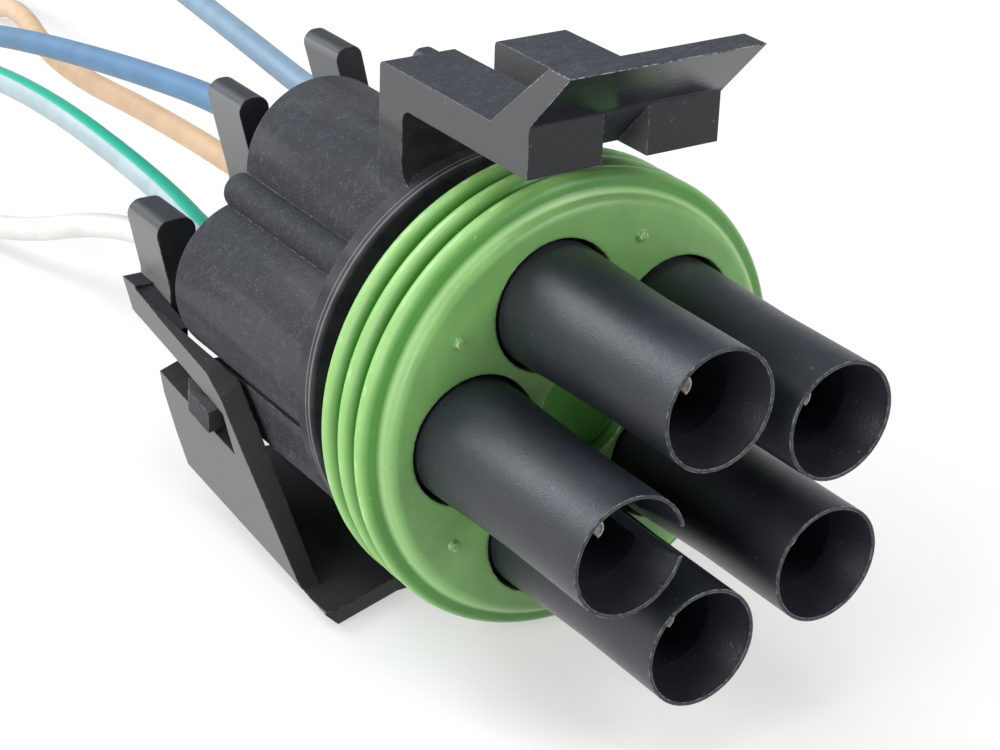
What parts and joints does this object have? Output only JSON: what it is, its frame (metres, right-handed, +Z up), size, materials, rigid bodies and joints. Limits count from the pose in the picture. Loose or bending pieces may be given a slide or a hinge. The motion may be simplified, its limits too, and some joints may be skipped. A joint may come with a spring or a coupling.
{
  "type": "connector pigtail",
  "caption": "Round sealed tower connector with a latch bridge, a ribbed green front seal, a clip-on rear lock and short coloured leads.",
  "frame": {"origin": "under the middle of the connector, on the surface it rests on", "axes": "+Y along the mating axis from the towers to the leads, +Z up towards the latch, +X to the right seen from the towers"},
  "size_m": [0.0375, 0.1564, 0.0393],
  "materials": {
    "housing_plastic": "fine spark-eroded satin",
    "lock_plastic": "fine spark-eroded satin",
    "green_silicone": "satin",
    "tinned_contact": "tin plated",
    "wire_seal_silicone": "satin",
    "lead_1": "satin",
    "lead_2": "satin",
    "lead_3": "satin",
    "lead_4": "satin",
    "lead_5": "satin"
  },
  "bodies": {
    "body": {"housing": "housing_plastic", "front_seal": "green_silicone", "terminal_1": "tinned_contact", "terminal_2": "tinned_contact", "terminal_3": "tinned_contact", "terminal_4": "tinned_contact", "terminal_5": "tinned_contact", "wire_seal_1": "wire_seal_silicone", "wire_seal_2": "wire_seal_silicone", "wire_seal_3": "wire_seal_silicone", "wire_seal_4": "wire_seal_silicone", "wire_seal_5": "wire_seal_silicone", "wire_1": "lead_1", "wire_2": "lead_2", "wire_3": "lead_3", "wire_4": "lead_4", "wire_5": "lead_5"},
    "lock": {"rear_lock": "lock_plastic"}
  },
  "joints": [
    {"name": "lock_slide", "type": "slide", "parent": "body", "child": "lock", "axis": [0, 1, 0], "range_m": [0, 0.0008]}
  ]
}
